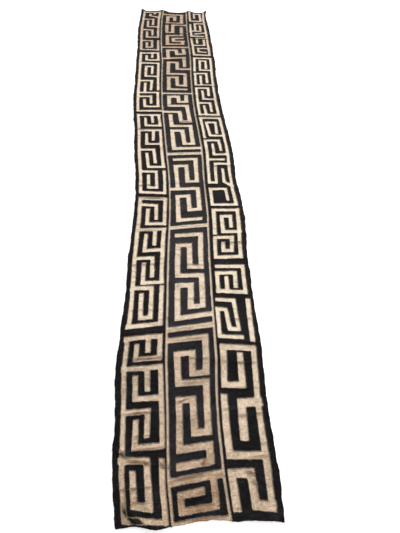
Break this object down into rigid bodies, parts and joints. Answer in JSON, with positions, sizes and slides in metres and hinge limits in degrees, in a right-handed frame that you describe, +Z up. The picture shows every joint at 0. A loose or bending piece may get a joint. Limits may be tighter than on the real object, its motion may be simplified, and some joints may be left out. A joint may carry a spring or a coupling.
{
  "type": "kuba raffia cloth",
  "caption": "Long flat raffia cloth of three sewn bands, its natural panels faced with black cut-work panels whose slots make a maze of pale lines; laid out flat, with soft creases and lifted hems.",
  "frame": {"origin": "on the surface that the cloth lies on, under the middle of its bounding box", "axes": "+Y runs along the cloth from its near hem to its far hem, +X across it to the right, +Z up out of its face"},
  "size_m": [0.6582, 3.9896, 0.0238],
  "materials": {
    "natural_raffia": "plain-woven undyed raffia, matt, slubby and slightly uneven in tone",
    "black_raffia": "plain-woven raffia dyed black, matt with a dull sheen"
  },
  "bodies": {
    "root": {"ground_left_1": "natural_raffia", "ground_left_2": "natural_raffia", "ground_left_3": "natural_raffia", "ground_left_4": "natural_raffia", "ground_left_5": "natural_raffia", "ground_centre_1": "natural_raffia", "ground_centre_2": "natural_raffia", "ground_centre_3": "natural_raffia", "ground_centre_4": "natural_raffia", "ground_centre_5": "natural_raffia", "ground_centre_6": "natural_raffia", "ground_centre_7": "natural_raffia", "ground_right_1": "natural_raffia", "ground_right_2": "natural_raffia", "ground_right_3": "natural_raffia", "ground_right_4": "natural_raffia", "ground_right_5": "natural_raffia", "black_left_1": "black_raffia", "black_left_2": "black_raffia", "black_left_3": "black_raffia", "black_left_4": "black_raffia", "black_left_5": "black_raffia", "black_centre_1": "black_raffia", "black_centre_2": "black_raffia", "black_centre_3": "black_raffia", "black_centre_4": "black_raffia", "black_centre_5": "black_raffia", "black_centre_6": "black_raffia", "black_centre_7": "black_raffia", "black_right_1": "black_raffia", "black_right_2": "black_raffia", "black_right_3": "black_raffia", "black_right_4": "black_raffia", "black_right_5": "black_raffia"}
  },
  "joints": []
}
